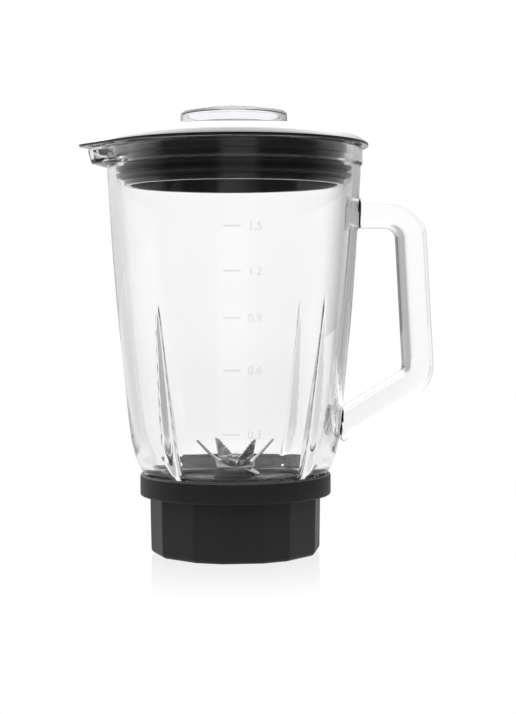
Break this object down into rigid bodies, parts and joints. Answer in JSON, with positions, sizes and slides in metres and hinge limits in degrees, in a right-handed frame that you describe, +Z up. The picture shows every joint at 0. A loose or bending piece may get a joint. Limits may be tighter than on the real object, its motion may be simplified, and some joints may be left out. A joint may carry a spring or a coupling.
{
  "type": "blender jug unit",
  "caption": "Pressed clear glass blender jug with one-piece handle, pouring lip and graduations, black lid with clear measuring cap, and screw-on black base collar with a blade set.",
  "frame": {"origin": "on the jug's axis, at the underside of the base collar, which is the mouth of the collar's bore", "axes": "+Z up along the jug's axis, +X towards the handle, -X towards the pouring lip, -Y is the front with the graduations"},
  "size_m": [0.196, 0.1486, 0.2445],
  "materials": {
    "jug_glass": "clear pressed glass",
    "cap_plastic": "clear moulded plastic",
    "lid_plastic": "glossy black",
    "collar_plastic": "satin black",
    "housing_plastic": "satin black",
    "dish_plastic": "glossy black",
    "blade_steel": "ground stainless steel",
    "shaft_steel": "turned stainless steel",
    "bush_bronze": "sintered bronze",
    "insert_brass": "machined",
    "seal_rubber": "soft black rubber",
    "seal_silicone": "translucent grey silicone",
    "coupling_rubber": "hard black rubber"
  },
  "bodies": {
    "base": {"base_collar": "collar_plastic", "bearing_housing": "housing_plastic", "carrier_dish": "dish_plastic", "upper_bush": "bush_bronze", "lower_bush": "bush_bronze", "shaft_seal": "seal_rubber"},
    "blade_drive": {"drive_shaft": "shaft_steel", "lower_blade": "blade_steel", "middle_blade": "blade_steel", "upper_blade": "blade_steel", "blade_nut": "blade_steel", "upper_washer": "shaft_steel", "lower_washer": "shaft_steel", "retaining_clip": "shaft_steel", "drive_coupling": "coupling_rubber", "coupling_insert": "insert_brass"},
    "seal_ring": {"jug_seal": "seal_silicone"},
    "jug": {"glass_jug": "jug_glass"},
    "lid": {"lid": "lid_plastic", "lid_gasket": "seal_rubber"},
    "cap": {"measuring_cap": "cap_plastic"}
  },
  "joints": [
    {"name": "blade_spin", "type": "hinge", "parent": "base", "child": "blade_drive", "pos_m": [0, 0, 0.0466], "axis": [0, 0, 1], "continuous": true},
    {"name": "jug_rise", "type": "slide", "parent": "base", "child": "seal_ring", "axis": [0, 0, 1], "range_m": [0, 0.0121]},
    {"name": "jug_turn", "type": "hinge", "parent": "seal_ring", "child": "jug", "pos_m": [0, 0, 0.0246], "axis": [0, 0, 1], "range_deg": [0, 720]},
    {"name": "lid_lift", "type": "slide", "parent": "jug", "child": "lid", "axis": [0, 0, 1], "range_m": [0, 0.05]},
    {"name": "cap_lift", "type": "slide", "parent": "lid", "child": "cap", "axis": [0, 0, 1], "range_m": [0, 0.04]}
  ],
  "couplings": [
    {"joint": "jug_rise", "follows": "jug_turn", "m_per_rad": 0.00095493}
  ]
}
